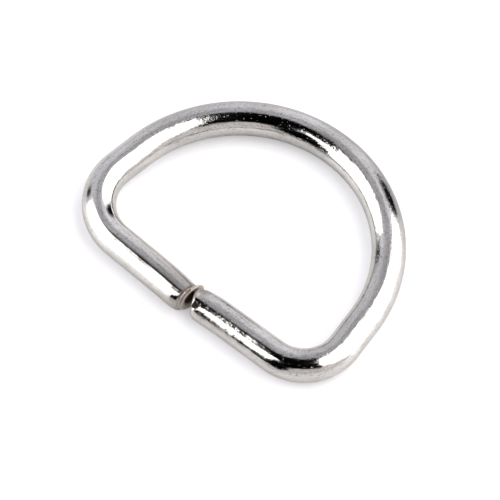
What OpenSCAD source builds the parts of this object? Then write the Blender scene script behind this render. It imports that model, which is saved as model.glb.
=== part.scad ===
// D ring bent from one length of round wire, lying flat on z = 0.
// The bar runs along X at the front, the bow points to +Y, and the cut ends meet in the bar.

/* [Ring] */
// Inside width between the two bends, which is the width of strap it takes
strap_w = 25; // [18:0.5:40]
// Inside height, from the bar to the top of the bow
inner_h = 17.2; // [14:0.2:36]
// Diameter of the wire
wire_d = 3.2; // [2:0.1:4.5]

/* [Bends] */
// Inside radius of the bend at the left end of the bar
left_bend_r = 3.6; // [1.5:0.1:5]
// Inside radius of the bend at the right end of the bar
right_bend_r = 2.8; // [1.5:0.1:5]
// How far the bow keeps inside the width of the bends, on each side
bow_inset = 0.3; // [0.1:0.05:2]

/* [Bar] */
// Angle by which the left half of the bar leans outwards on its way to the seam
left_lean = 2.9; // [0:0.1:5]
// Angle by which the right half of the bar leans outwards on its way to the seam
right_lean = 0.5; // [0:0.1:5]
// Place of the seam along the bar, measured from its middle
seam_x = 0.15; // [-2:0.05:2]
// Gap between the two cut ends
seam_gap = 0.2; // [0.1:0.05:1]

/* [Cut ends] */
// Length over which the shear rolled the edge of the left end over
roll_len = 0.8; // [0.6:0.1:2]
// How much smaller than the wire's radius the left end's cut face is
roll_drop = 0.15; // [0.05:0.05:0.5]
// Thickness of the lip that the shear pushed out at the left end
lip_t = 0.25; // [0.1:0.05:0.5]
// How far the lip is pushed towards the inside of the ring
lip_shift = 0.45; // [0.1:0.05:0.6]
// Length over which the right end is drawn down to its nose
nose_len = 2.4; // [1:0.1:3.5]
// How much smaller than the wire's radius the tip of the nose is
nose_drop = 0.4; // [0.1:0.05:0.8]

/* [Hidden] */
$fn = 48;

// Radii on the centre line of the wire
wire_r = wire_d / 2;
left_r = left_bend_r + wire_r;
right_r = right_bend_r + wire_r;
half_w = strap_w / 2 + wire_r;
bow_r = half_w - bow_inset;
// Height of the bow's centre above the centre line of the bar
bow_y = inner_h + wire_d - bow_r;

// From the bow's centre to the centre of a bend
function bend_offset(r) = [half_w - r, r - bow_y];
// Direction in which a leg faces, square to the outer tangent of the bow and its bend
function leg_angle(r) =
    atan2(bend_offset(r).y, bend_offset(r).x) + acos((bow_r - r) / norm(bend_offset(r)));
// Length of that tangent between its two touching points
function leg_len(r) = sqrt(norm(bend_offset(r)) ^ 2 - (bow_r - r) ^ 2);
// Distance of the bar's start from the middle, where the bend ends
function bar_start(r, lean) = half_w - r + r * sin(lean);
// Place across the ring of a leaning half of the bar, at a distance from the middle
function bar_y(r, lean, x) = r * (1 - cos(lean)) - (bar_start(r, lean) - x) * tan(lean);

// Radius of the arc that draws a cut end in by a drop, over a length of wire
function arc_r(len, drop) = (len ^ 2 + drop ^ 2) / (2 * drop);
// Outermost place across the ring of a half of the bar, where its drawn-in end begins
function bar_front(r, lean, end_x, len, drop) =
    bar_y(r, lean, end_x + len * cos(lean)) - wire_r * cos(lean)
    - arc_r(len, drop) * (1 - cos(lean));

// Distance of each cut end from the middle of the bar
left_end = seam_gap / 2 - seam_x;
right_end = seam_gap / 2 + seam_x;
// Front and back edges of the ring, used to centre it on the origin
left_front = bar_front(left_r, left_lean, left_end + lip_t / 2, roll_len, roll_drop);
right_front = bar_front(right_r, right_lean, right_end, nose_len, nose_drop);
front = min(left_front, right_front);
back = bow_y + bow_r + wire_r;
// The stretches of wire stop this far short of each joint, and its ball is this much larger
hair = 0.002;

// An arc of wire about the origin, a hair short at both ends
module wire_arc(centre_r, from_angle, to_angle) {
    short = hair / centre_r * 180 / PI;
    rotate([0, 0, from_angle + short])
        rotate_extrude(angle = to_angle - from_angle - 2 * short)
            translate([centre_r, 0])
                circle(d = wire_d);
}

// Joins two stretches of wire that run on into each other
module joint() {
    sphere(r = wire_r + hair);
}

module bow() {
    translate([0, bow_y, 0])
        wire_arc(bow_r, leg_angle(right_r), 180 - leg_angle(left_r));
}

// The straight leg between the bow and the bend, on the right side of the ring
module leg(r) {
    translate([half_w - r, r, 0])
        rotate([0, 0, leg_angle(r)])
            translate([r, 0, 0])
                rotate([-90, 0, 0]) {
                    joint();
                    translate([0, 0, hair])
                        cylinder(h = leg_len(r) - 2 * hair, d = wire_d);
                    translate([0, 0, leg_len(r)])
                        joint();
                }
}

// The bend between the leg and the bar, on the right side of the ring
module bend(r, lean) {
    translate([half_w - r, r, 0]) {
        wire_arc(r, lean - 90, leg_angle(r));
        rotate([0, 0, lean - 90])
            translate([r, 0, 0])
                joint();
    }
}

// Sets a shape on a half of the bar, with its +Z running from the cut end to the bend
module on_bar(r, lean, end_x) {
    translate([end_x, bar_y(r, lean, end_x), 0])
        rotate([0, 0, lean])
            rotate([0, 90, 0])
                children();
}

// Length of a half of the bar, from its cut end to the bend
function bar_len(r, lean, end_x) = (bar_start(r, lean) - end_x) / cos(lean) - hair;

// A half of the bar, whose cut end is drawn in by a drop over a length of wire
module half_bar(r, lean, end_x, len, drop) {
    on_bar(r, lean, end_x)
        rotate_extrude() {
            translate([0, len])
                square([wire_r, bar_len(r, lean, end_x) - len]);
            intersection() {
                square([wire_r, len]);
                translate([wire_r - arc_r(len, drop), len])
                    circle(r = arc_r(len, drop));
            }
        }
}

// The left half of the bar, cut nearly square, with the lip that the shear pushed inwards
module left_bar() {
    half_bar(left_r, left_lean, left_end + lip_t / 2, roll_len, roll_drop);
    on_bar(left_r, left_lean, left_end)
        translate([0, lip_shift, 0])
            cylinder(h = lip_t, r = wire_r - roll_drop);
}

// The right half of the bar, drawn down to a blunt nose
module right_bar() {
    half_bar(right_r, right_lean, right_end, nose_len, nose_drop);
}

module ring_wire() {
    color("silver")
        translate([0, -(front + back) / 2, wire_r]) {
            bow();
            leg(right_r);
            bend(right_r, right_lean);
            right_bar();
            mirror([1, 0, 0]) {
                leg(left_r);
                bend(left_r, left_lean);
                left_bar();
            }
        }
}

ring_wire();
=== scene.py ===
"""Looks of an open D ring: bright nickel plate over drawn steel wire, lying in a light tent.

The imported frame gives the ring's box. The ring is drawn again here as one fine tube along the same
route, with the wear of its cut ends, and is dressed with a plated and a sheared steel finish.
All lengths are in metres; MM turns a size in millimetres into metres.
"""

import logging
import math
from collections.abc import Callable, Iterator
from dataclasses import dataclass, field
from enum import Enum
from itertools import pairwise
from typing import Any

import bmesh
import bpy
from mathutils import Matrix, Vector


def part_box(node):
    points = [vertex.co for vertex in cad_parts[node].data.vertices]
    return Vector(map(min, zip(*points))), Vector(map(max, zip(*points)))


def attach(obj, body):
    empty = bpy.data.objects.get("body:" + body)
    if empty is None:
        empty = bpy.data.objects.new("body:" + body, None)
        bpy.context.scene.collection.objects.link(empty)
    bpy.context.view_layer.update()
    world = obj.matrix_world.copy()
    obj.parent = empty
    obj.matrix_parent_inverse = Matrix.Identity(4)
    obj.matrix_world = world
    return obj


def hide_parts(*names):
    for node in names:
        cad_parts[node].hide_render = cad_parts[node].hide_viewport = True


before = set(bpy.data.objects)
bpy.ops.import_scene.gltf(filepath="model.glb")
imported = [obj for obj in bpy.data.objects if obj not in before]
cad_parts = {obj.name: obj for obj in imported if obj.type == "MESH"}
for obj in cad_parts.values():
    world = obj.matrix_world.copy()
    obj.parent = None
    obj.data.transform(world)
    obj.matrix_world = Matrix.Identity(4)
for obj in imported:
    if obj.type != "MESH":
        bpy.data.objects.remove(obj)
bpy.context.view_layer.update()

LOG = logging.getLogger("d_ring")
MM = 0.001
UP = Vector((0.0, 0.0, 1.0))
COLOURS = {"data_type": "RGBA"}
SMOOTH = {"interpolation_type": "SMOOTHSTEP"}


class RingPart(Enum):
    """The stretches of the wire, in the order in which it was bent."""

    LEFT_BAR = "left half of the bar"
    LEFT_BEND = "left bend"
    LEFT_LEG = "left leg"
    BOW = "bow"
    RIGHT_LEG = "right leg"
    RIGHT_BEND = "right bend"
    RIGHT_BAR = "right half of the bar"


def linear(hex_colour: str) -> tuple[float, float, float, float]:
    """Turns an sRGB hex colour into linear light.

    Args:
        hex_colour: Six hex digits after a hash sign.

    Returns:
        Red, green, blue and alpha as Blender's sockets take them.
    """
    shares = [int(hex_colour[i:i + 2], 16) / 255 for i in (1, 3, 5)]
    red, green, blue = (
        c / 12.92 if c <= 0.04045 else ((c + 0.055) / 1.055) ** 2.4 for c in shares
    )
    return red, green, blue, 1.0


def add_node(
    tree: bpy.types.NodeTree,
    kind: str,
    settings: dict[str, Any] | None = None,
    inputs: dict[str | int, Any] | None = None,
) -> bpy.types.Node:
    """Adds a node with its settings and links.

    Args:
        tree: The tree that it goes into.
        kind: Blender's name for the kind of node.
        settings: Properties of the node itself.
        inputs: For each input, by name or number, a value, an output socket, or a node whose first
            output in use is taken.

    Returns:
        The new node.
    """
    node = tree.nodes.new(kind)
    for name, value in (settings or {}).items():
        setattr(node, name, value)
    for key, value in (inputs or {}).items():
        if isinstance(value, bpy.types.Node):
            value = next(socket for socket in value.outputs if socket.enabled)
        if isinstance(value, bpy.types.NodeSocket):
            tree.links.new(value, node.inputs[key])
        else:
            node.inputs[key].default_value = value
    return node


@dataclass(frozen=True)
class Stretch:
    """One stretch of the wire's centre line, straight or bent clockwise.

    Attributes:
        part: Which stretch it is.
        start: Its first point.
        heading: Its first direction, as an angle from +X in radians.
        length: Its length along the centre line.
        radius: Radius of the bend, or 0 where it is straight.
        begins: Distance along the whole wire at which it starts.
    """

    part: RingPart
    start: Vector
    heading: float
    length: float
    radius: float
    begins: float

    @property
    def direction(self) -> Vector:
        """Unit vector along the wire at the start."""
        return Vector((math.cos(self.heading), math.sin(self.heading), 0.0))

    @property
    def inward(self) -> Vector:
        """Unit vector towards the inside of the ring at the start."""
        return Vector((math.sin(self.heading), -math.cos(self.heading), 0.0))

    @property
    def sweep(self) -> float:
        """Angle through which the stretch bends, in radians."""
        return self.length / self.radius if self.radius else 0.0

    @property
    def centre(self) -> Vector:
        """Centre of the bend."""
        return self.start + self.inward * self.radius

    @property
    def end(self) -> Vector:
        """Last point of the stretch."""
        if not self.radius:
            return self.start + self.direction * self.length
        turned = self.heading - self.sweep
        return self.centre - Vector((math.sin(turned), -math.cos(turned), 0.0)) * self.radius

    def place(self, point: Vector) -> tuple[float, float]:
        """Finds a point near the wire in the stretch's own measure.

        Args:
            point: A point in the row frame.

        Returns:
            How far inwards of the centre line it is, and how far along the stretch.
        """
        if not self.radius:
            offset = point - self.start
            return offset.dot(self.inward), offset.dot(self.direction)
        offset = point - self.centre
        flat = math.hypot(offset.x, offset.y)
        first = math.atan2(-self.inward.y, -self.inward.x)
        turned = (first - math.atan2(offset.y, offset.x) + math.pi / 2) % (2 * math.pi) - math.pi / 2
        return self.radius - flat, turned * self.radius


@dataclass(frozen=True)
class WireRoute:
    """The D's centre line, from the left cut end clockwise round to the right one.

    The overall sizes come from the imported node's box, and the rest are the D's own.

    Attributes:
        low: Lowest corner of the ring's box.
        high: Highest corner of the ring's box.
        inner_h: Inside height, from the bar to the top of the bow.
        left_bend_r: Inside radius of the left bend.
        right_bend_r: Inside radius of the right bend.
        bow_inset: How far the bow keeps inside the width of the bends.
        left_lean: Angle by which the left half of the bar leans outwards at the seam, in degrees.
        right_lean: The same for the right half.
        seam_x: Place of the seam along the bar.
        seam_gap: Gap between the two cut ends.
    """

    low: Vector
    high: Vector
    inner_h: float = 17.2 * MM
    left_bend_r: float = 3.6 * MM
    right_bend_r: float = 2.8 * MM
    bow_inset: float = 0.3 * MM
    left_lean: float = 2.9
    right_lean: float = 0.5
    seam_x: float = 0.15 * MM
    seam_gap: float = 0.2 * MM

    @property
    def wire_r(self) -> float:
        """Radius of the wire."""
        return (self.high.z - self.low.z) / 2

    @property
    def half_w(self) -> float:
        """Distance of the sides' centre line from the middle."""
        return self.high.x - self.wire_r

    @property
    def bow_r(self) -> float:
        """Radius of the bow's centre line."""
        return self.half_w - self.bow_inset

    @property
    def bar_middle(self) -> Vector:
        """Middle of the bar's centre line, between the bends, if it didn't lean."""
        y = self.high.y - 3 * self.wire_r - self.inner_h
        return Vector((0.0, y, self.low.z + self.wire_r))

    def leg(self, bend_r: float) -> tuple[float, float]:
        """Works out the straight leg that touches both the bow and a bend.

        Args:
            bend_r: Radius of the bend's centre line.

        Returns:
            The leg's turn from the ring's own Y axis in radians, and its length.
        """
        bow_y = self.high.y - self.wire_r - self.bow_r
        across = self.half_w - bend_r
        rise = self.bar_middle.y + bend_r - bow_y
        apart = math.hypot(across, rise)
        turn = math.atan2(rise, across) + math.acos((self.bow_r - bend_r) / apart)
        return turn, math.sqrt(apart ** 2 - (self.bow_r - bend_r) ** 2)

    def stretches(self) -> list[Stretch]:
        """Walks the wire from the left cut end.

        Returns:
            Its stretches, in order.
        """
        left_r = self.left_bend_r + self.wire_r
        right_r = self.right_bend_r + self.wire_r
        lean_l, lean_r = math.radians(self.left_lean), math.radians(self.right_lean)
        (turn_l, leg_l), (turn_r, leg_r) = self.leg(left_r), self.leg(right_r)
        left_end = self.seam_gap / 2 - self.seam_x
        right_end = self.seam_gap / 2 + self.seam_x
        reach_l = self.half_w - left_r + left_r * math.sin(lean_l) - left_end
        reach_r = self.half_w - right_r + right_r * math.sin(lean_r) - right_end
        drop = left_r * (1 - math.cos(lean_l)) - reach_l * math.tan(lean_l)
        start = self.bar_middle + Vector((-left_end, drop, 0.0))
        runs = (
            (RingPart.LEFT_BAR, reach_l / math.cos(lean_l), 0.0),
            (RingPart.LEFT_BEND, left_r * (math.pi / 2 + turn_l - lean_l), left_r),
            (RingPart.LEFT_LEG, leg_l, 0.0),
            (RingPart.BOW, self.bow_r * (math.pi - turn_l - turn_r), self.bow_r),
            (RingPart.RIGHT_LEG, leg_r, 0.0),
            (RingPart.RIGHT_BEND, right_r * (math.pi / 2 + turn_r - lean_r), right_r),
            (RingPart.RIGHT_BAR, reach_r / math.cos(lean_r), 0.0),
        )
        found: list[Stretch] = []
        heading, begins = math.pi - lean_l, 0.0
        for part, length, radius in runs:
            stretch = Stretch(part, start, heading, length, radius, begins)
            found.append(stretch)
            start = stretch.end
            heading -= stretch.sweep
            begins += length
        return found


@dataclass(frozen=True)
class EndStation:
    """A ring of points near a cut end, in millimetres.

    Attributes:
        along: Distance from the cut, measured into the wire.
        wide: Half its width across the D's bar.
        high: Half its height.
        inward: How far it is pushed towards the inside of the D.
        sunk: How far it is pushed down towards the floor.
        turned: Angle by which its inner side reaches further out of the cut, in degrees.
        rings: Number of rings drawn from the station before it up to this one.
    """

    along: float
    wide: float
    high: float
    inward: float = 0.0
    sunk: float = 0.0
    turned: float = 0.0
    rings: int = 1

    def blend(self, other: "EndStation", share: float) -> "EndStation":
        """A ring part of the way to another station."""
        return EndStation(
            self.along + (other.along - self.along) * share,
            self.wide + (other.wide - self.wide) * share,
            self.high + (other.high - self.high) * share,
            self.inward + (other.inward - self.inward) * share,
            self.sunk + (other.sunk - self.sunk) * share,
            self.turned + (other.turned - self.turned) * share,
        )

    def offset(self, stretch: Stretch) -> Vector:
        """Place of the ring's middle beside the centre line, in metres."""
        return (stretch.inward * self.inward - UP * self.sunk) * MM


@dataclass(frozen=True)
class Grain:
    """Size of a pattern that follows the wire.

    Attributes:
        across: Its size across the wire, in millimetres.
        along: Its size along the wire, in millimetres.
        detail: How many finer layers lie over it.
        rough: How strong the finer layers are.
    """

    across: float
    along: float
    detail: float
    rough: float = 0.5


@dataclass(frozen=True)
class Fade:
    """A smooth change over a range of a pattern or of a distance.

    Attributes:
        start: Where it starts.
        end: Where it ends.
        before: Result up to the start.
        after: Result from the end on.
    """

    start: float
    end: float
    before: float = 0.0
    after: float = 1.0

    def of(self, value: Any) -> dict[str, Any]:
        """Inputs for a node that lets this fade act on a value."""
        return {"Value": value, "From Min": self.start, "From Max": self.end,
                "To Min": self.before, "To Max": self.after}


class Wear(Enum):
    """Patterns in the plate.

    Real drawing lines are about 0.02 mm apart, and are drawn five times as coarse to show.
    """

    LINES = Grain(0.11, 3.5, 3.0)
    RUBS = Grain(0.36, 0.7, 3.0, 0.6)
    PATCHES = Grain(3.0, 7.0, 2.0)
    GRIT = Grain(0.14, 0.20, 2.0)
    STREAKS = Grain(0.30, 1.8, 3.0, 0.6)
    SPECKS = Grain(0.17, 0.26, 1.0)


@dataclass(frozen=True)
class Tint:
    """A tint that one pattern leaves on the plate.

    Attributes:
        wear: The pattern.
        fade: How the pattern's strength becomes the tint's share.
        colour: The tint's colour.
    """

    wear: Wear
    fade: Fade
    colour: str


@dataclass(frozen=True)
class NickelPlate:
    """Bright nickel plate over drawn steel wire.

    Drawing through a die leaves long fine lines, and bending leaves rubbed patches and small pits
    that the thin plate doesn't level. Near the two cut ends the plate is thin: it has browned and
    lost its polish. Behind the nose, on its outer side, near-black streaks are painted as a dark
    reflection of the shaded gap. To the eye it is a slightly warm mirror, whose reflections have
    ragged edges along the wire, with a faint satin where it reflects an even grey, and a dull brown tinge
    at the seam.

    Attributes:
        name: Name of the material.
        clean: Colour of the plate where nothing has worn it.
        tints: What the patterns leave on it, each over the ones before it.
        stain: Colour of the browned plate.
        stained: Most of the plate's colour that the stain covers.
        scale: Colour of the painted dark reflection behind the nose.
        polish: Roughness over the drawing lines.
        dulled: Roughness that browning adds, by the distance from the polished plate's edge.
        dark_reflection_rough: Roughness that the painted dark reflection adds.
        nose_rub: How far the nose's brown reaches, by the distance inwards of the centre line.
        nose_brown: Brown on the nose, by the distance from where that reach ends.
        neck_brown: Brown on the neck of the left end, by the distance from its cut.
        neck_wiped: Share of it that is left, by the distance inwards of the centre line.
        bar_brown: Faint brown on the left half of the bar, by the distance from its cut.
        dark_reflection_outer: Where the painted dark reflection begins and ends, by the distance inwards
            of the centre line.
        dark_reflection_along: Where it begins and ends, by the distance from the nose's tip.
        dark_reflection_pull: How much those places strengthen the streaks.
        dark_reflection_streaks: How the strengthened streaks become the painted dark reflection.
        worked: How much the bends have worked the wire, by the distance from the left cut.
        rubbed: How much of the rubs each patch keeps.
        pitted: How the specks become pits.
        line_height: Height of the drawing lines, in millimetres.
        rub_height: Height of the rubs, in millimetres.
        pit_depth: Depth of the pits, in millimetres.
    """

    name: str = "nickel plate, bright, over drawn steel wire"
    clean: str = "#D4D3D3"
    tints: tuple[Tint, ...] = (
        Tint(Wear.PATCHES, Fade(0.30, 0.70), "#BDBBBA"),
        Tint(Wear.LINES, Fade(0.35, 0.70, 0.0, 0.5), "#BDBBBA"),
        Tint(Wear.GRIT, Fade(0.45, 0.75, 0.0, 0.5), "#94908E"),
        Tint(Wear.STREAKS, Fade(0.45, 0.75, 0.0, 0.3), "#94908E"),
        Tint(Wear.SPECKS, Fade(0.66, 0.76, 0.0, 0.6), "#5E5047"),
    )
    stain: str = "#5E5047"
    stained: float = 0.85
    # Painted dark reflection behind the nose, near black.
    scale: str = "#1D1917"
    polish: Fade = Fade(0.30, 0.75, 0.06, 0.12)
    dulled: Fade = Fade(0.40 * MM, 0.75 * MM, 0.30, 0.0)
    dark_reflection_rough: float = 0.25
    nose_rub: Fade = Fade(-0.6 * MM, -0.3 * MM, -0.35 * MM, 0.6 * MM)
    nose_brown: Fade = Fade(0.2 * MM, 0.9 * MM, 0.55, 0.0)
    neck_brown: Fade = Fade(0.35 * MM, 0.8 * MM, 1.0, 0.0)
    neck_wiped: Fade = Fade(-1.35 * MM, -0.95 * MM, 0.1, 1.0)
    bar_brown: Fade = Fade(0.5 * MM, 6 * MM, 0.40, 0.0)
    dark_reflection_outer: tuple[Fade, ...] = (
        Fade(-0.9 * MM, -0.1 * MM, 1.0, 0.0), Fade(-1.45 * MM, -1.2 * MM),
    )
    dark_reflection_along: tuple[Fade, ...] = (
        Fade(0.8 * MM, 2.4 * MM, 1.0, 0.0), Fade(0.55 * MM, 0.7 * MM),
    )
    dark_reflection_pull: float = 0.5
    dark_reflection_streaks: Fade = Fade(0.86, 0.96)
    worked: Fade = Fade(9 * MM, 24 * MM, 0.12, 1.0)
    rubbed: Fade = Fade(0.40, 0.60, 0.45, 1.0)
    pitted: Fade = Fade(0.66, 0.76)
    line_height: float = 0.004
    rub_height: float = 0.028
    pit_depth: float = 0.006

    def make(self, length: float) -> bpy.types.Material:
        """Builds the material.

        Args:
            length: Length of the whole wire, from cut to cut.

        Returns:
            The finished material.
        """
        material = bpy.data.materials.new(self.name)
        material.use_nodes = True
        tree = material.node_tree
        tree.nodes.clear()
        place = add_node(tree, "ShaderNodeAttribute", {"attribute_name": "wire_place"}).outputs["Vector"]
        wear = {kind: self.pattern(tree, place, kind.value) for kind in Wear}
        measure = add_node(tree, "ShaderNodeSeparateXYZ", None, {0: place}).outputs
        inward, along = measure["X"], measure["Z"]
        from_nose = add_node(tree, "ShaderNodeMath", {"operation": "SUBTRACT"}, {0: length, 1: along})
        reach = add_node(tree, "ShaderNodeMapRange", SMOOTH, self.nose_rub.of(inward))
        from_rub = add_node(tree, "ShaderNodeMath", {"operation": "SUBTRACT"}, {0: from_nose, 1: reach})
        # Painted dark reflection: near-black streaks behind the nose, on its outer side.
        scale = self.find_dark_reflection(tree, wear[Wear.STREAKS], inward, from_nose)

        tone: Any = linear(self.clean)
        for tint in self.tints:
            share = add_node(tree, "ShaderNodeMapRange", SMOOTH, tint.fade.of(wear[tint.wear]))
            tone = add_node(tree, "ShaderNodeMix", COLOURS,
                            {"Factor": share, 6: tone, 7: linear(tint.colour)})
        brown = self.find_brown(tree, inward, along, from_rub)
        tone = add_node(tree, "ShaderNodeMix", COLOURS, {"Factor": brown, 6: tone, 7: linear(self.stain)})
        # Mixes in the painted dark reflection behind the nose.
        tone = add_node(tree, "ShaderNodeMix", COLOURS, {"Factor": scale, 6: tone, 7: linear(self.scale)})
        shader = add_node(tree, "ShaderNodeBsdfPrincipled", None,
                          {"Base Color": tone, "Metallic": 1.0,
                           "Roughness": self.find_roughness(tree, wear, along, from_rub, scale),
                           "Normal": self.find_relief(tree, wear, along)})
        add_node(tree, "ShaderNodeOutputMaterial", None, {"Surface": shader})
        return material

    def pattern(self, tree: bpy.types.NodeTree, place: Any, grain: Grain) -> bpy.types.Node:
        """Draws one pattern along the wire.

        Args:
            tree: The material's tree.
            place: Output with the place on the wire.
            grain: Size of the pattern.

        Returns:
            Node with the pattern's strength.
        """
        across = 1 / (grain.across * MM)
        scaled = add_node(tree, "ShaderNodeVectorMath", {"operation": "MULTIPLY"},
                          {0: place, 1: (across, across, 1 / (grain.along * MM))})
        return add_node(tree, "ShaderNodeTexNoise", None,
                        {"Vector": scaled, "Scale": 1.0, "Detail": grain.detail,
                         "Roughness": grain.rough})

    def find_brown(
        self, tree: bpy.types.NodeTree, inward: Any, along: Any, from_rub: bpy.types.Node,
    ) -> bpy.types.Node:
        """Finds how brown the thin plate has gone at the two cut ends.

        Args:
            tree: The material's tree.
            inward: Output with the distance inwards of the centre line.
            along: Output with the distance from the left cut.
            from_rub: Node with the distance from where the nose's brown ends.

        Returns:
            Node with the share of the stain.
        """
        neck = add_node(tree, "ShaderNodeMapRange", SMOOTH, self.neck_brown.of(along))
        wiped = add_node(tree, "ShaderNodeMapRange", SMOOTH, self.neck_wiped.of(inward))
        brown = add_node(tree, "ShaderNodeMath", {"operation": "MULTIPLY"}, {0: neck, 1: wiped})
        nose = add_node(tree, "ShaderNodeMapRange", SMOOTH, self.nose_brown.of(from_rub))
        bar = add_node(tree, "ShaderNodeMapRange", SMOOTH, self.bar_brown.of(along))
        for other in (nose, bar):
            brown = add_node(tree, "ShaderNodeMath", {"operation": "MAXIMUM"}, {0: brown, 1: other})
        return add_node(tree, "ShaderNodeMath", {"operation": "MULTIPLY"}, {0: brown, 1: self.stained})

    def find_dark_reflection(
        self, tree: bpy.types.NodeTree, streaks: bpy.types.Node, inward: Any, from_nose: bpy.types.Node,
    ) -> bpy.types.Node:
        """Finds where a dark reflection is painted in streaks behind the nose, on its outer side.

        Args:
            tree: The material's tree.
            streaks: Node with the streaks.
            inward: Output with the distance inwards of the centre line.
            from_nose: Node with the distance from the nose's tip.

        Returns:
            Node with the share of the painted dark reflection.
        """
        place: Any = self.dark_reflection_pull
        for fades, value in ((self.dark_reflection_outer, inward), (self.dark_reflection_along, from_nose)):
            for fade in fades:
                share = add_node(tree, "ShaderNodeMapRange", SMOOTH, fade.of(value))
                place = add_node(tree, "ShaderNodeMath", {"operation": "MULTIPLY"}, {0: place, 1: share})
        pulled = add_node(tree, "ShaderNodeMath", {"operation": "ADD"}, {0: streaks, 1: place})
        return add_node(tree, "ShaderNodeMapRange", SMOOTH, self.dark_reflection_streaks.of(pulled))

    def find_roughness(
        self,
        tree: bpy.types.NodeTree,
        wear: dict[Wear, bpy.types.Node],
        along: Any,
        from_rub: bpy.types.Node,
        scale: bpy.types.Node,
    ) -> bpy.types.Node:
        """Adds up what takes the polish off the plate.

        Args:
            tree: The material's tree.
            wear: Node of each pattern.
            along: Output with the distance from the left cut.
            from_rub: Node with the distance from where the nose's brown ends.
            scale: Node with the share of the painted dark reflection.

        Returns:
            Node with the roughness.
        """
        rough = add_node(tree, "ShaderNodeMapRange", SMOOTH, self.polish.of(wear[Wear.LINES]))
        nearest = add_node(tree, "ShaderNodeMath", {"operation": "MINIMUM"}, {0: along, 1: from_rub})
        dulled = add_node(tree, "ShaderNodeMapRange", SMOOTH, self.dulled.of(nearest))
        scaled = add_node(tree, "ShaderNodeMath", {"operation": "MULTIPLY"},
                          {0: scale, 1: self.dark_reflection_rough})
        for more in (dulled, scaled):
            rough = add_node(tree, "ShaderNodeMath", {"operation": "ADD"}, {0: rough, 1: more})
        return rough

    def find_relief(
        self, tree: bpy.types.NodeTree, wear: dict[Wear, bpy.types.Node], along: Any,
    ) -> bpy.types.Node:
        """Raises the drawing lines and the rubs, and sinks the pits.

        Args:
            tree: The material's tree.
            wear: Node of each pattern.
            along: Output with the distance from the left cut.

        Returns:
            Node with the bumped normal.
        """
        worked = add_node(tree, "ShaderNodeMapRange", SMOOTH, self.worked.of(along))
        kept = add_node(tree, "ShaderNodeMapRange", SMOOTH, self.rubbed.of(wear[Wear.PATCHES]))
        pits = add_node(tree, "ShaderNodeMapRange", SMOOTH, self.pitted.of(wear[Wear.SPECKS]))
        height: Any = 0.0
        for factors in (
            (self.line_height, wear[Wear.LINES]),
            (self.rub_height, wear[Wear.RUBS], worked, kept),
            (-self.pit_depth, pits, worked),
        ):
            part: Any = factors[0]
            for factor in factors[1:]:
                part = add_node(tree, "ShaderNodeMath", {"operation": "MULTIPLY"}, {0: part, 1: factor})
            height = add_node(tree, "ShaderNodeMath", {"operation": "ADD"}, {0: height, 1: part})
        return add_node(tree, "ShaderNodeBump", None,
                        {"Strength": 1.0, "Distance": MM, "Height": height})


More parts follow.
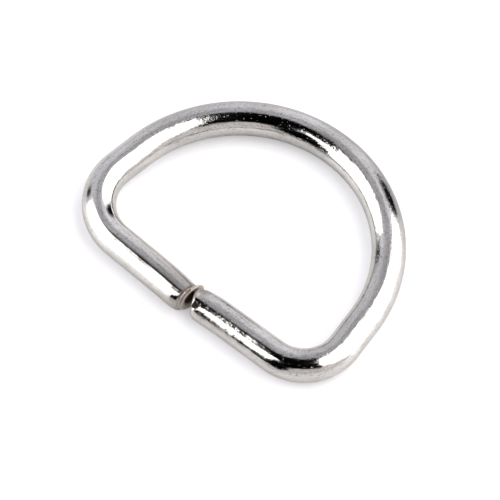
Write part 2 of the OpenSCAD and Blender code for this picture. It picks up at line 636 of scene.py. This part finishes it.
@dataclass(frozen=True)
class ShearedSteel:
    """Steel wire end cut by a shear, under a thin flash of nickel that has begun to brown.

    The cut is burnished in fine lines along the stroke, and torn between them. On the left cut, where the
    narrow gap to the nose lies in shade, a patch is painted nearly black as painted shade.
    Its specular level is lowered there as well, which paints out its reflections. To the eye it is a
    dull brown-grey face with a fine grain, nearly black in the middle of the left cut. Real lines
    of the shear are about 0.03 mm apart, and are drawn four times as coarse to show.

    Attributes:
        name: Name of the material.
        bright: Colour of the burnished steel.
        brown: Colour of the torn steel.
        gap_shade: Colour of the painted shade in the gap on the left cut, nearly black.
        roughness: Roughness all over.
        metallic: How metallic the face is under its brown film.
        gloss: Specular level away from the painted shade.
        line_width: Width of the lines of the shear.
        line_length: Their length, along the stroke.
        tear: Size of the torn spots.
        relief: Height of the lines and spots.
        gap_shade_fade: How the painted shade fades out, by the distance from its middle.
        gap_shade_squeeze: How much sooner it ends in X, Y and Z.
    """

    name: str = "sheared steel under thin nickel, browned"
    bright: str = "#D2CBC6"
    brown: str = "#94867B"
    # Painted shade: near black, for the shaded gap between the cut ends.
    gap_shade: str = "#40302A"
    roughness: float = 0.45
    metallic: float = 0.25
    gloss: float = 0.5
    line_width: float = 0.12 * MM
    line_length: float = 0.9 * MM
    tear: float = 0.35 * MM
    relief: float = 0.03 * MM
    gap_shade_fade: Fade = Fade(0.55 * MM, 0.85 * MM)
    gap_shade_squeeze: tuple[float, float, float] = (2.0, 1.0, 1.0)

    def make(self, gap_shade_at: Vector) -> bpy.types.Material:
        """Builds the material.

        Args:
            gap_shade_at: Middle of the patch of painted shade on the left cut, in the gap before the
                nose.

        Returns:
            The finished material.
        """
        material = bpy.data.materials.new(self.name)
        material.use_nodes = True
        tree = material.node_tree
        tree.nodes.clear()
        spot = add_node(tree, "ShaderNodeTexCoord").outputs["Object"]
        stroke = add_node(tree, "ShaderNodeVectorMath", {"operation": "MULTIPLY"},
                          {0: spot, 1: (1 / self.line_width, 1 / self.line_width, 1 / self.line_length)})
        lines = add_node(tree, "ShaderNodeTexNoise", None,
                         {"Vector": stroke, "Scale": 1.0, "Detail": 3.0})
        torn = add_node(tree, "ShaderNodeTexNoise", None,
                        {"Vector": spot, "Scale": 1 / self.tear, "Detail": 5.0})
        tone = add_node(tree, "ShaderNodeMix", COLOURS,
                        {"Factor": torn, 6: linear(self.bright), 7: linear(self.brown)})
        # Painted shade: in the shaded gap on the left cut, the face goes nearly black and its specular
        # level drops.
        squeeze = Vector(self.gap_shade_squeeze)
        near = add_node(tree, "ShaderNodeVectorMath", {"operation": "MULTIPLY"}, {0: spot, 1: squeeze})
        near = add_node(tree, "ShaderNodeVectorMath", {"operation": "DISTANCE"},
                        {0: near, 1: gap_shade_at * squeeze})
        clear = add_node(tree, "ShaderNodeMapRange", SMOOTH, self.gap_shade_fade.of(near))
        tone = add_node(tree, "ShaderNodeMix", COLOURS,
                        {"Factor": clear, 6: linear(self.gap_shade), 7: tone})
        shine = add_node(tree, "ShaderNodeMath", {"operation": "MULTIPLY"}, {0: clear, 1: self.gloss})
        height = add_node(tree, "ShaderNodeMath", {"operation": "ADD"}, {0: lines, 1: torn})
        bump = add_node(tree, "ShaderNodeBump", None,
                        {"Strength": 1.0, "Distance": self.relief, "Height": height})
        shader = add_node(tree, "ShaderNodeBsdfPrincipled", None,
                          {"Base Color": tone, "Metallic": self.metallic, "Roughness": self.roughness,
                           "Specular IOR Level": shine, "Normal": bump})
        add_node(tree, "ShaderNodeOutputMaterial", None, {"Surface": shader})
        return material


@dataclass
class WireRing:
    """The bent wire: one tube from cut end to cut end.

    Attributes:
        route: Its centre line.
        sides: Points in each ring of the tube.
        step: Distance between rings along the wire.
        wave: Height of the slow waves that forming leaves in the surface.
        wave_length: Length of those waves.
        cut_depth: How far from the seam the cut faces reach.
        cut_slope: Least share of a cut face's normal that points along the bar.
        merge: Distance within which points of the closed ends are merged.
        gap_shade_at: Place of the painted shade on the left cut, from the end of the centre line.
        left_cut: The left end, cut nearly square and hollow, with a lip pushed inwards by the
            shear and a narrow neck behind it.
        right_cut: The right end, drawn down to a blunt nose, with a ridge where the nose begins,
            and a little flatter than round over its first 8 mm.
    """

    route: WireRoute
    sides: int = 112
    step: float = 0.22 * MM
    wave: float = 0.010 * MM
    wave_length: float = 4.0 * MM
    cut_depth: float = 0.5 * MM
    cut_slope: float = 0.5
    merge: float = 0.0005 * MM
    # Where the painted shade of the gap sits on the left cut.
    gap_shade_at: Vector = field(default_factory=lambda: Vector((-0.25, 0.23, -0.12)) * MM)
    left_cut: tuple[EndStation, ...] = (
        EndStation(0.30, 0.10, 0.10, 0.29, -0.12, 5.0),
        EndStation(0.29, 0.50, 0.50, 0.29, -0.12, 5.0, rings=4),
        EndStation(0.22, 0.80, 0.80, 0.29, -0.12, 5.0, rings=4),
        EndStation(0.02, 1.02, 1.02, 0.29, -0.12, 5.0, rings=4),
        EndStation(-0.02, 1.20, 1.20, 0.29, -0.12, 5.0, rings=3),
        EndStation(-0.04, 1.36, 1.36, 0.29, -0.12, 5.0, rings=3),
        EndStation(-0.05, 1.42, 1.42, 0.29, -0.12, 5.0, rings=2),
        EndStation(-0.03, 1.455, 1.455, 0.29, -0.12, 5.0, rings=3),
        EndStation(0.03, 1.47, 1.47, 0.29, -0.12, 5.0, rings=3),
        EndStation(0.11, 1.40, 1.46, 0.24, -0.10, 4.0, rings=3),
        EndStation(0.22, 1.33, 1.50, 0.15, -0.07, 3.0, rings=3),
        EndStation(0.34, 1.29, 1.555, 0.04, -0.05, 1.5, rings=3),
        EndStation(0.46, 1.40, 1.57, -0.06, -0.02, 0.5, rings=3),
        EndStation(0.60, 1.46, 1.585, -0.09, rings=3),
        EndStation(0.85, 1.50, 1.58, -0.10, rings=4),
        EndStation(1.20, 1.54, 1.575, -0.10, rings=4),
        EndStation(1.60, 1.565, 1.58, -0.085, rings=4),
        EndStation(2.40, 1.585, 1.585, -0.05, rings=4),
        EndStation(3.60, 1.594, 1.585, -0.015, rings=4),
        EndStation(4.60, 1.594, 1.588, rings=4),
        EndStation(6.00, 1.594, 1.594, rings=4),
    )
    right_cut: tuple[EndStation, ...] = (
        EndStation(0.08, 0.10, 0.10, -0.10, -0.05, 22.0),
        EndStation(0.07, 0.50, 0.55, -0.10, -0.05, 22.0, rings=4),
        EndStation(0.06, 0.84, 0.95, -0.10, -0.05, 22.0, rings=4),
        EndStation(0.11, 0.93, 1.05, -0.10, -0.05, 20.0, rings=3),
        EndStation(0.22, 1.07, 1.25, -0.12, -0.06, 15.0, rings=4),
        EndStation(0.36, 1.20, 1.43, -0.14, -0.06, 10.5, rings=4),
        EndStation(0.41, 1.25, 1.485, -0.15, -0.06, 9.5, rings=2),
        EndStation(0.46, 1.29, 1.505, -0.15, -0.05, 9.0, rings=2),
        EndStation(0.57, 1.35, 1.498, -0.16, -0.035, 8.0, rings=3),
        EndStation(0.72, 1.43, 1.497, -0.155, -0.012, 6.0, rings=3),
        EndStation(0.90, 1.50, 1.492, -0.14, -0.005, 4.0, rings=3),
        EndStation(1.15, 1.54, 1.49, -0.11, 0.0, 2.5, rings=3),
        EndStation(1.50, 1.57, 1.488, -0.08, 0.0, 1.0, rings=4),
        EndStation(1.95, 1.585, 1.487, -0.05, rings=4),
        EndStation(2.40, 1.592, 1.487, -0.03, rings=4),
        EndStation(2.90, 1.598, 1.49, -0.01, rings=4),
        EndStation(3.90, 1.594, 1.505, rings=6),
        EndStation(5.25, 1.594, 1.53, rings=8),
        EndStation(6.75, 1.594, 1.56, rings=8),
        EndStation(7.95, 1.594, 1.594, rings=6),
    )
    piece: bpy.types.Object | None = field(default=None, init=False)

    def build(self) -> None:
        """Draws the tube, closes its ends, and gives it its waves and its own measure."""
        stretches = self.route.stretches()
        first, last = stretches[0], stretches[-1]
        rows = list(self.rows(self.left_cut))
        self.start_circle(first, rows[0])
        for here, after in pairwise(rows):
            self.shape_ring(first, here, after, away=1.0)
        self.draw_straight(first, first.length - rows[-1].along * MM)
        for stretch in stretches[1:-1]:
            if stretch.radius:
                self.draw_bend(stretch)
            else:
                self.draw_straight(stretch, stretch.length)
        rows = list(self.rows(self.right_cut))[::-1]
        self.draw_straight(last, last.length - rows[0].along * MM)
        for here, after in pairwise(rows):
            self.shape_ring(last, here, after, away=-1.0)
        bpy.ops.object.mode_set(mode="OBJECT")
        self.close_ends()
        self.give_waves()
        self.write_place(stretches)

    def rows(self, stations: tuple[EndStation, ...]) -> Iterator[EndStation]:
        """Fills in the rings between the stations of a cut end.

        Args:
            stations: The stations, from the middle of the cut outwards.

        Yields:
            One row for each ring.
        """
        yield stations[0]
        for before, after in pairwise(stations):
            for i in range(1, after.rings + 1):
                yield before.blend(after, i / after.rings)

    def start_circle(self, stretch: Stretch, row: EndStation) -> None:
        """Adds the first ring of points, square to the wire, and goes into edit mode.

        Args:
            stretch: The stretch that it starts.
            row: The ring's place and size; it is as wide as it is high.
        """
        bpy.ops.object.select_all(action="DESELECT")
        centre = stretch.start + stretch.direction * (row.along * MM) + row.offset(stretch)
        bpy.ops.mesh.primitive_circle_add(
            vertices=self.sides, radius=row.wide * MM, location=centre,
            rotation=(0.0, math.pi / 2, stretch.heading - math.radians(row.turned)),
        )
        self.piece = bpy.context.active_object
        self.piece.name = self.piece.data.name = "plated_wire"
        bpy.ops.object.transform_apply(location=True, rotation=True, scale=True)
        bpy.ops.object.mode_set(mode="EDIT")
        bpy.ops.mesh.select_all(action="SELECT")

    def shape_ring(self, stretch: Stretch, here: EndStation, after: EndStation, away: float) -> None:
        """Draws the tube on to the next ring of a cut end.

        Args:
            stretch: The half of the bar that holds the cut.
            here: The ring that is selected.
            after: The ring to draw.
            away: 1 where the wire is drawn away from its cut, -1 where it is drawn towards it.
        """
        cut = stretch.start if away > 0 else stretch.end
        shift = stretch.direction * (away * (after.along - here.along) * MM)
        shift += after.offset(stretch) - here.offset(stretch)
        bpy.ops.mesh.extrude_region_move(TRANSFORM_OT_translate={"value": shift})
        centre = cut + stretch.direction * (away * after.along * MM) + after.offset(stretch)
        wider, higher = after.wide / here.wide, after.high / here.high
        bpy.ops.transform.resize(value=(wider, wider, higher), center_override=centre)
        turn = math.radians(away * (after.turned - here.turned))
        bpy.ops.transform.rotate(value=turn, orient_axis="Z", center_override=centre)

    def draw_straight(self, stretch: Stretch, length: float) -> None:
        """Draws a straight run of wire from the selected ring.

        Args:
            stretch: The stretch that gives the direction.
            length: How far to draw it.
        """
        steps = max(1, round(length / self.step))
        bpy.ops.mesh.extrude_repeat(steps=steps, offset=stretch.direction * (length / steps))

    def draw_bend(self, stretch: Stretch) -> None:
        """Spins the selected ring round the centre of a bend.

        Args:
            stretch: The bend.
        """
        steps = max(1, round(stretch.length / self.step))
        bpy.ops.mesh.spin(
            steps=steps, angle=stretch.sweep, center=stretch.centre, axis=UP,
        )

    def close_ends(self) -> None:
        """Fills the small hole in the middle of each cut, and turns all faces outwards."""
        bpy.ops.object.mode_set(mode="EDIT")
        for cut in (0, 1):
            bpy.ops.mesh.select_all(action="DESELECT")
            shape = bmesh.from_edit_mesh(self.piece.data)
            rims = [e for e in shape.edges if e.is_boundary]
            rims.sort(key=lambda e: e.index)
            loop = {rims[0] if cut == 0 else rims[-1]}
            grown = True
            while grown:
                touched = {v for e in loop for v in e.verts}
                wider = {e for e in rims if touched & set(e.verts)}
                grown = wider != loop
                loop = wider
            for edge in loop:
                edge.select_set(True)
            bmesh.update_edit_mesh(self.piece.data)
            bpy.ops.mesh.edge_face_add()
        bpy.ops.mesh.select_all(action="SELECT")
        bpy.ops.mesh.remove_doubles(threshold=self.merge)
        bpy.ops.mesh.normals_make_consistent(inside=False)
        bpy.ops.object.mode_set(mode="OBJECT")
        bpy.ops.object.shade_smooth()

    def give_waves(self) -> None:
        """Lets the surface wander a few micrometres, as formed wire does."""
        waves = bpy.data.textures.new("forming waves", "CLOUDS")
        waves.noise_basis = "IMPROVED_PERLIN"
        waves.noise_scale = self.wave_length
        waves.noise_depth = 1
        modifier = self.piece.modifiers.new("forming waves", "DISPLACE")
        modifier.texture = waves
        modifier.texture_coords = "LOCAL"
        modifier.strength = self.wave
        modifier.mid_level = 0.5
        bpy.ops.object.modifier_apply(modifier=modifier.name)

    def write_place(self, stretches: list[Stretch]) -> None:
        """Stores where each point lies on the wire, for patterns that follow it.

        Args:
            stretches: The stretches of the centre line.
        """
        mesh = self.piece.data
        places = mesh.attributes.new("wire_place", "FLOAT_VECTOR", "POINT")
        for vertex, place in zip(mesh.vertices, places.data, strict=True):
            place.vector = self.find_place(stretches, vertex.co)

    def find_place(self, stretches: list[Stretch], point: Vector) -> Vector:
        """Measures a point of the surface from the centre line.

        Args:
            stretches: The stretches of the centre line.
            point: The point.

        Returns:
            Inwards and upwards from the centre line, and along the wire from the left cut.
        """
        best = (math.inf, 0.0, 0.0)
        for stretch in stretches:
            inward, along = stretch.place(point)
            before, beyond = max(0.0, -along), max(0.0, along - stretch.length)
            miss = abs(inward) + before + beyond
            best = min(best, (miss, inward, stretch.begins + along))
        return Vector((best[1], point.z - self.route.bar_middle.z, best[2]))

    def dress(self, plate: NickelPlate, cut_steel: ShearedSteel) -> None:
        """Plates the wire and gives the two cut faces their own finish.

        Args:
            plate: Finish of the wire.
            cut_steel: Finish of the cut faces.
        """
        mesh = self.piece.data
        first, *_, last = self.route.stretches()
        mesh.materials.append(plate.make(last.begins + last.length))
        mesh.materials.append(cut_steel.make(first.start + self.gap_shade_at))
        seam = self.route.bar_middle.x + self.route.seam_x
        for face in mesh.polygons:
            near_seam = abs(face.center.x - seam) < self.cut_depth
            if near_seam and abs(face.normal.x) > self.cut_slope and face.center.y < 0:
                face.material_index = 1

    def mount(self) -> None:
        """Puts the piece on its CAD body, in place of the CAD node."""
        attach(self.piece, "root")
        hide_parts("ring_wire")


@dataclass(frozen=True)
class Corner:
    """A corner of a light panel, as the ring sees it, with the softness of the edge after it.

    Attributes:
        right: Degrees from straight up, towards the right of the picture.
        away: Degrees from straight up, away from the camera.
        soft: Width of the blurred edge to the next corner, in degrees.
    """

    right: float
    away: float
    soft: float = 4.0


@dataclass(frozen=True)
class Panel:
    """An evenly lit panel of the light tent, with its corners anticlockwise.

    Attributes:
        name: What it is.
        colour: Its tint.
        strength: How bright it is; 1 shows as white.
        corners: Its corners.
    """

    name: str
    colour: str
    strength: float
    corners: tuple[Corner, ...]


@dataclass(frozen=True)
class Studio:
    """A pale floor in a light tent, and the camera that looks down on it.

    Attributes:
        turn: Angle from the row's +X axis to the right of the picture, in degrees.
        elevation: Angle of the camera above the floor, in degrees.
        scale: Pixels for each metre in the picture.
        picture: Width and height of the picture in pixels.
        bar_at: Pixel at which the middle of the bar shows, from the left and from the top.
        distance: Distance of the camera, large because the picture shows hardly any perspective.
        sensor: Width of the camera's sensor.
        clip: Nearest and farthest thing that the camera takes in, as shares of its distance.
        floor_r: Radius of the floor.
        floor_sides: Number of points in its rim.
        floor_roughness: Roughness of the floor.
        floor_seen: Tint of the floor, as the camera sees it.
        floor_glow: How bright the lamp under the floor makes it; 1 shows as white.
        floor_front: Tint of the floor in front of the ring, as the wire mirrors it.
        floor_back: The same behind the ring, where less light falls.
        floor_shade: Direction in which it darkens, to the right and away from the camera.
        floor_fade: Distance over which the one passes into the other.
        back_cloth: Tint of the tent's own cloth.
        back_strength: How bright the cloth is.
        least_sine: Keeps straight up from being divided by nothing.
        panels: What hangs in the tent, each thing in front of the ones before it.
    """

    turn: float = 40.14
    elevation: float = 60.64
    scale: float = 10.875 / MM
    picture: int = 500
    bar_at: tuple[float, float] = (192.7, 296.3)
    distance: float = 2.0
    sensor: float = 36 * MM
    clip: tuple[float, float] = (0.01, 2.0)
    floor_r: float = 1.0
    floor_sides: int = 96
    floor_roughness: float = 0.3
    floor_seen: str = "#D2D1D7"
    floor_glow: float = 0.30
    floor_front: str = "#DAD8D8"
    floor_back: str = "#B3B1B4"
    floor_shade: tuple[float, float] = (0.5, 0.85)
    floor_fade: float = 16 * MM
    back_cloth: str = "#FAFAFF"
    back_strength: float = 0.94
    least_sine: float = 0.001
    panels: tuple[Panel, ...] = (
        Panel("thin back cloth", "#FDFCFF", 1.10, (
            Corner(120, 60, 8), Corner(60, 130, 8), Corner(14, 125, 20), Corner(4, 30, 8),
            Corner(30, 30, 8),
        )),
        Panel("front cloth", "#FFFAF6", 0.80, (
            Corner(-120, -130, 8), Corner(120, -130, 8), Corner(120, -30, 12), Corner(-120, -50, 8),
        )),
        Panel("thin front cloth, right", "#FFFAF8", 1.0, (
            Corner(44, -130, 8), Corner(120, -130, 8), Corner(120, -10, 12), Corner(28, -40, 16),
        )),
        Panel("thin front cloth, left", "#FFFBF8", 1.0, (
            Corner(-120, -130, 8), Corner(-80, -130, 12), Corner(-72, -40, 12), Corner(-120, -30, 8),
        )),
        Panel("shaded back cloth", "#F4F3F8", 0.66, (
            Corner(18, 10, 16), Corner(8, 44, 24), Corner(-14, 44, 20), Corner(-36, 16, 8),
        )),
        Panel("opening for the camera", "#000000", 1.0, (
            Corner(14, 14, 12), Corner(-34, 14, 4), Corner(-30, -54, 8), Corner(27, -54, 4),
        )),
        Panel("left panel", "#FFFEFB", 3.6, (
            Corner(-33, -37, 7), Corner(-26, -20, 5), Corner(-25, 10, 6), Corner(-29, 24, 8),
            Corner(-45, 31, 8), Corner(-80, 34, 8), Corner(-120, 37, 8), Corner(-120, -40, 7),
            Corner(-65, -46, 6),
        )),
        Panel("camera's shoulder", "#000000", 1.0, (
            Corner(-19, 8, 2), Corner(-37, -9, 3), Corner(-36, -15, 3), Corner(-24, -17, 2),
            Corner(-16, 0, 2),
        )),
        Panel("right panel", "#FFFEFA", 3.6, (
            Corner(21, -40, 8), Corner(42, -42, 8), Corner(66, -36, 8), Corner(92, -22, 8),
            Corner(97, 10, 8), Corner(92, 38, 8), Corner(62, 47, 8), Corner(38, 42, 8),
            Corner(20, 29, 7), Corner(9, 18, 6), Corner(8, -4, 5), Corner(12, -18, 6),
        )),
        Panel("dark stand, front left", "#000000", 1.0, (
            Corner(-30, -23, 5), Corner(-80, -46, 4), Corner(-92, -56, 8), Corner(-80, -66, 12),
            Corner(-44, -75, 12), Corner(-24, -66, 10),
        )),
        Panel("foot of the dark stand, front left", "#000000", 1.0, (
            Corner(-50, -31, 3), Corner(-70, -38, 3), Corner(-82, -48, 4), Corner(-90, -57, 8),
            Corner(-50, -57, 8),
        )),
        Panel("dark stand, back right", "#000000", 1.0, (
            Corner(27, 41, 8), Corner(50, 43, 9), Corner(72, 57, 10), Corner(70, 72, 12),
            Corner(54, 72, 10), Corner(34, 54, 10),
        )),
        Panel("dark stand, back left", "#505052", 1.0, (
            Corner(-52, 38, 8), Corner(-50, 44, 10), Corner(-68, 57, 10), Corner(-84, 60, 10),
            Corner(-82, 49, 8), Corner(-66, 38, 6),
        )),
    )

    @property
    def right(self) -> Vector:
        """Direction on the floor that points to the right of the picture."""
        return Vector((math.cos(math.radians(self.turn)), math.sin(math.radians(self.turn)), 0.0))

    @property
    def away(self) -> Vector:
        """Direction on the floor that points away from the camera."""
        return UP.cross(self.right)

    def make_floor(self) -> None:
        """Lays a round sheet of pale acrylic, faintly lit from below, under the ring."""
        bpy.ops.object.select_all(action="DESELECT")
        bpy.ops.mesh.primitive_circle_add(
            vertices=self.floor_sides, radius=self.floor_r, fill_type="NGON",
        )
        floor = bpy.context.active_object
        floor.name = "floor"
        material = bpy.data.materials.new("satin white acrylic sheet")
        material.use_nodes = True
        tree = material.node_tree
        tree.nodes.clear()
        spot = add_node(tree, "ShaderNodeTexCoord").outputs["Object"]
        shade = self.right * self.floor_shade[0] + self.away * self.floor_shade[1]
        behind = add_node(tree, "ShaderNodeVectorMath", {"operation": "DOT_PRODUCT"}, {0: spot, 1: shade})
        behind = add_node(tree, "ShaderNodeMapRange", SMOOTH, Fade(0.0, self.floor_fade).of(behind))
        mirrored = add_node(tree, "ShaderNodeMix", COLOURS,
                            {"Factor": behind, 6: linear(self.floor_front), 7: linear(self.floor_back)})
        seen = add_node(tree, "ShaderNodeLightPath").outputs["Is Camera Ray"]
        tone = add_node(tree, "ShaderNodeMix", COLOURS,
                        {"Factor": seen, 6: mirrored, 7: linear(self.floor_seen)})
        glow = add_node(tree, "ShaderNodeMath", {"operation": "MULTIPLY"},
                        {0: seen, 1: self.floor_glow})
        shader = add_node(tree, "ShaderNodeBsdfPrincipled", None,
                          {"Base Color": tone, "Roughness": self.floor_roughness,
                           "Emission Color": (1.0, 1.0, 1.0, 1.0), "Emission Strength": glow})
        add_node(tree, "ShaderNodeOutputMaterial", None, {"Surface": shader})
        floor.data.materials.append(material)

    def make_light(self) -> None:
        """Hangs the tent's panels round the ring, with a dark gap for the camera."""
        world = bpy.data.worlds.new("light tent")
        bpy.context.scene.world = world
        world.use_nodes = True
        tree = world.node_tree
        tree.nodes.clear()
        towards = add_node(tree, "ShaderNodeTexCoord").outputs["Generated"]
        spot = self.tent_map(tree, towards)
        light: Any = [c * self.back_strength for c in linear(self.back_cloth)[:3]] + [1.0]
        for panel in self.panels:
            light = self.hang_panel(tree, spot, panel, light)
        seen = add_node(tree, "ShaderNodeLightPath").outputs["Is Camera Ray"]
        light = add_node(tree, "ShaderNodeMix", COLOURS,
                         {"Factor": seen, 6: light, 7: (1.0, 1.0, 1.0, 1.0)})
        back = add_node(tree, "ShaderNodeBackground", None, {"Color": light, "Strength": 1.0})
        add_node(tree, "ShaderNodeOutputWorld", None, {"Surface": back})

    def tent_map(self, tree: bpy.types.NodeTree, towards: Any) -> bpy.types.Node:
        """Lays the tent out flat, with straight up in the middle.

        Args:
            tree: The world's tree.
            towards: Output that holds the direction.

        Returns:
            Node with the degrees to the right, the degrees away, and 1.
        """
        up, right, away = (
            add_node(tree, "ShaderNodeVectorMath", {"operation": "DOT_PRODUCT"}, {0: towards, 1: axis})
            for axis in (UP, self.right, self.away)
        )
        from_top = add_node(tree, "ShaderNodeMath", {"operation": "ARCCOSINE"}, {0: up})
        sine = add_node(tree, "ShaderNodeMath", {"operation": "SINE"}, {0: from_top})
        sine = add_node(tree, "ShaderNodeMath", {"operation": "MAXIMUM"}, {0: sine, 1: self.least_sine})
        stretch = add_node(tree, "ShaderNodeMath", {"operation": "DIVIDE"}, {0: from_top, 1: sine})
        stretch = add_node(tree, "ShaderNodeMath", {"operation": "MULTIPLY"},
                           {0: stretch, 1: math.degrees(1.0)})
        flat = (
            add_node(tree, "ShaderNodeMath", {"operation": "MULTIPLY"}, {0: stretch, 1: share})
            for share in (right, away)
        )
        return add_node(tree, "ShaderNodeCombineXYZ", None, dict(zip("XYZ", (*flat, 1.0), strict=True)))

    def hang_panel(
        self, tree: bpy.types.NodeTree, spot: bpy.types.Node, panel: Panel, behind: Any,
    ) -> bpy.types.Node:
        """Adds one panel in front of what hangs already.

        Args:
            tree: The world's tree.
            spot: Node of the tent map.
            panel: The panel.
            behind: Light of what is behind it.

        Returns:
            Node with the light of both.
        """
        inside: Any = 1.0
        for corner, after in zip(panel.corners, panel.corners[1:] + panel.corners[:1], strict=True):
            run, rise = after.right - corner.right, after.away - corner.away
            length = math.hypot(run, rise)
            level = (rise * corner.right - run * corner.away) / length
            depth = add_node(tree, "ShaderNodeVectorMath", {"operation": "DOT_PRODUCT"},
                             {0: spot, 1: (-rise / length, run / length, level)})
            edge = Fade(-corner.soft / 2, corner.soft / 2)
            edge = add_node(tree, "ShaderNodeMapRange", SMOOTH, edge.of(depth))
            inside = add_node(tree, "ShaderNodeMath", {"operation": "MULTIPLY"}, {0: inside, 1: edge})
        bright = [c * panel.strength for c in linear(panel.colour)[:3]] + [1.0]
        return add_node(tree, "ShaderNodeMix", COLOURS, {"Factor": inside, 6: behind, 7: bright})

    def make_camera(self, bar_middle: Vector) -> None:
        """Sets the camera at the picture's angle.

        Args:
            bar_middle: Middle of the bar's centre line.
        """
        tilt = math.radians(self.elevation)
        back = UP * math.sin(tilt) - self.away * math.cos(tilt)
        up = UP * math.cos(tilt) + self.away * math.sin(tilt)
        middle = self.picture / 2
        aim = bar_middle + self.right * ((middle - self.bar_at[0]) / self.scale)
        aim += up * ((self.bar_at[1] - middle) / self.scale)
        data = bpy.data.cameras.new("camera")
        camera = bpy.data.objects.new("camera", data)
        bpy.context.scene.collection.objects.link(camera)
        data.sensor_width = self.sensor / MM
        data.lens = data.sensor_width * self.distance * self.scale / self.picture
        data.clip_start, data.clip_end = (self.distance * share for share in self.clip)
        camera.location = aim + back * self.distance
        camera.rotation_mode = "QUATERNION"
        camera.rotation_quaternion = (-back).to_track_quat("-Z", "Y")
        bpy.context.scene.camera = camera

    def build(self, bar_middle: Vector) -> None:
        """Sets up the whole studio.

        Args:
            bar_middle: Middle of the bar's centre line.
        """
        self.make_floor()
        self.make_light()
        self.make_camera(bar_middle)
        bpy.context.scene.view_settings.view_transform = "Standard"


def main() -> None:
    """Builds the ring and the studio, and reports each piece."""
    logging.basicConfig(level=logging.INFO, format="%(message)s")
    low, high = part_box("ring_wire")
    ring = WireRing(WireRoute(low, high))
    studio = Studio()
    steps: tuple[tuple[str, Callable[[], None]], ...] = (
        ("studio", lambda: studio.build(ring.route.bar_middle)),
        ("plated wire", ring.build),
        ("finishes", lambda: ring.dress(NickelPlate(), ShearedSteel())),
        ("mounting", ring.mount),
    )
    for name, step in steps:
        step()
        LOG.info("%s: done", name)
    LOG.info("plated wire: %d faces", len(ring.piece.data.polygons))


if __name__ == "__main__":
    main()
